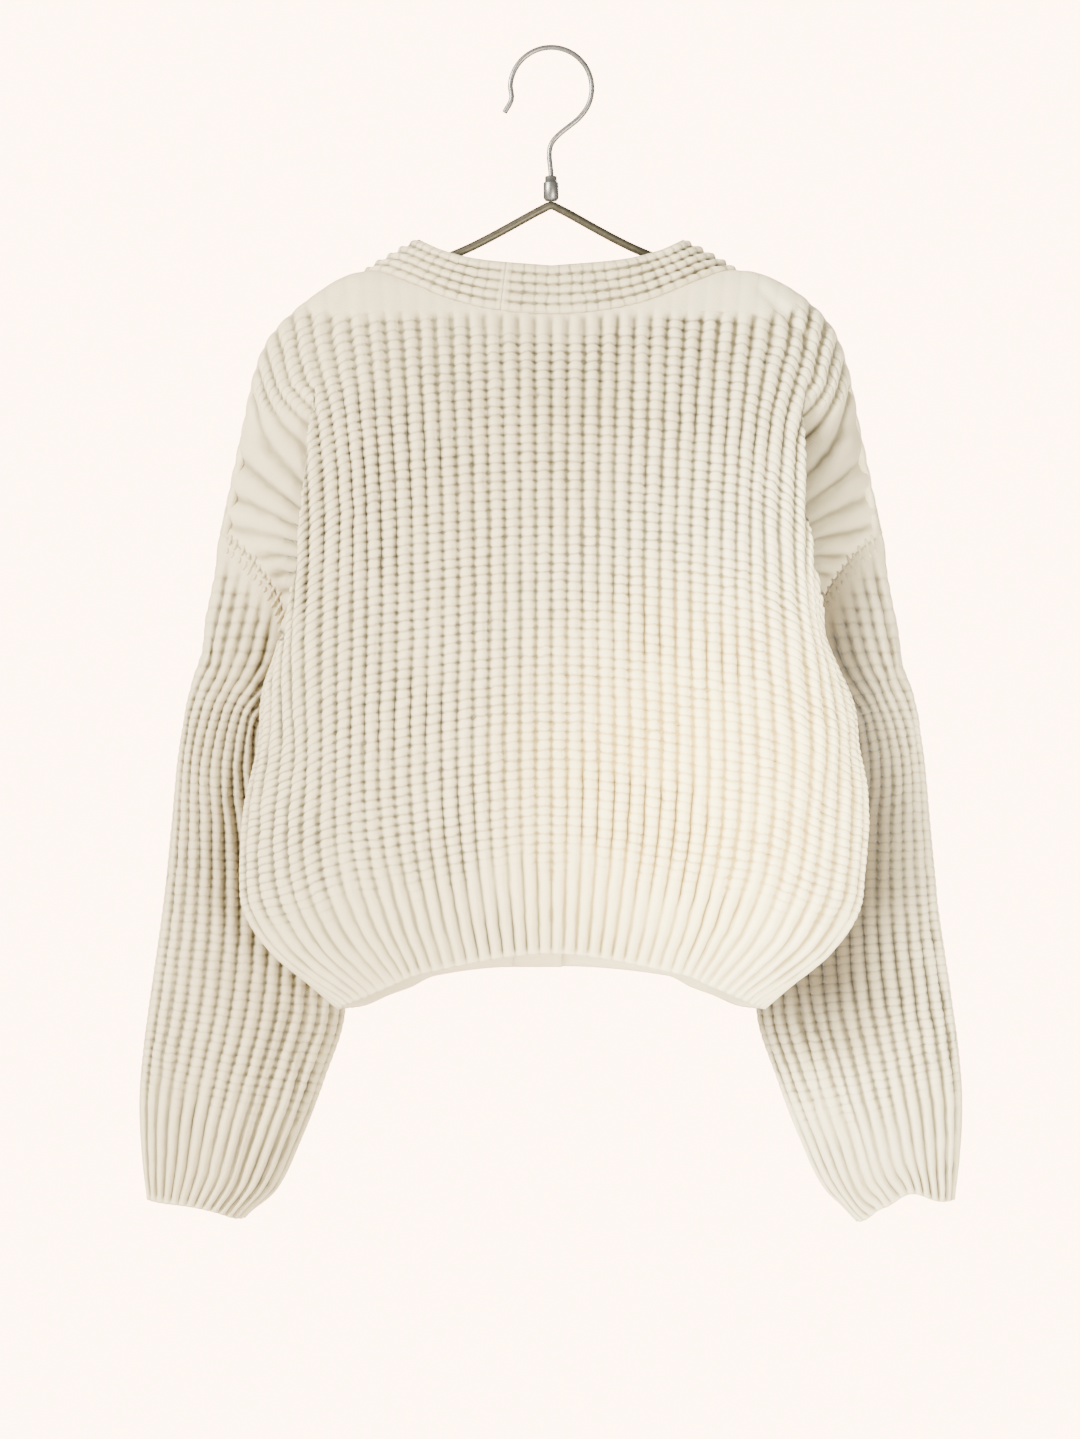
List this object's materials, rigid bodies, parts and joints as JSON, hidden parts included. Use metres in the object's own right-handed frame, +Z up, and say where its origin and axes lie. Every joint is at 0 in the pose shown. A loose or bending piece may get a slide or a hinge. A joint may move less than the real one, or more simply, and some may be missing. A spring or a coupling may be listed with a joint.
{
  "type": "chunky knit cardigan on hanger",
  "caption": "Cropped drop-shoulder ribbed cardigan with balloon sleeves and a buttoned V-neck front, hanging on a slim wire hanger.",
  "frame": {"origin": "inside top of the hanger's hook, where a rail or peg holds it", "axes": "+Z up, +Y towards the wearer's front, -X the wearer's left"},
  "size_m": [0.6036, 0.1599, 0.8518],
  "materials": {
    "yarn": "matte chunky wool knit, warm ivory",
    "horn": "satin",
    "steel": "satin, grey"
  },
  "bodies": {
    "root": {"back": "yarn", "front_left": "yarn", "front_right": "yarn", "sleeve_left": "yarn", "sleeve_right": "yarn", "band_left": "yarn", "band_right": "yarn", "button_1": "horn", "button_2": "horn", "button_3": "horn", "button_4": "horn", "button_5": "horn", "hanger_arms": "steel", "hanger_hook": "steel", "hanger_ferrule": "steel"}
  },
  "joints": []
}
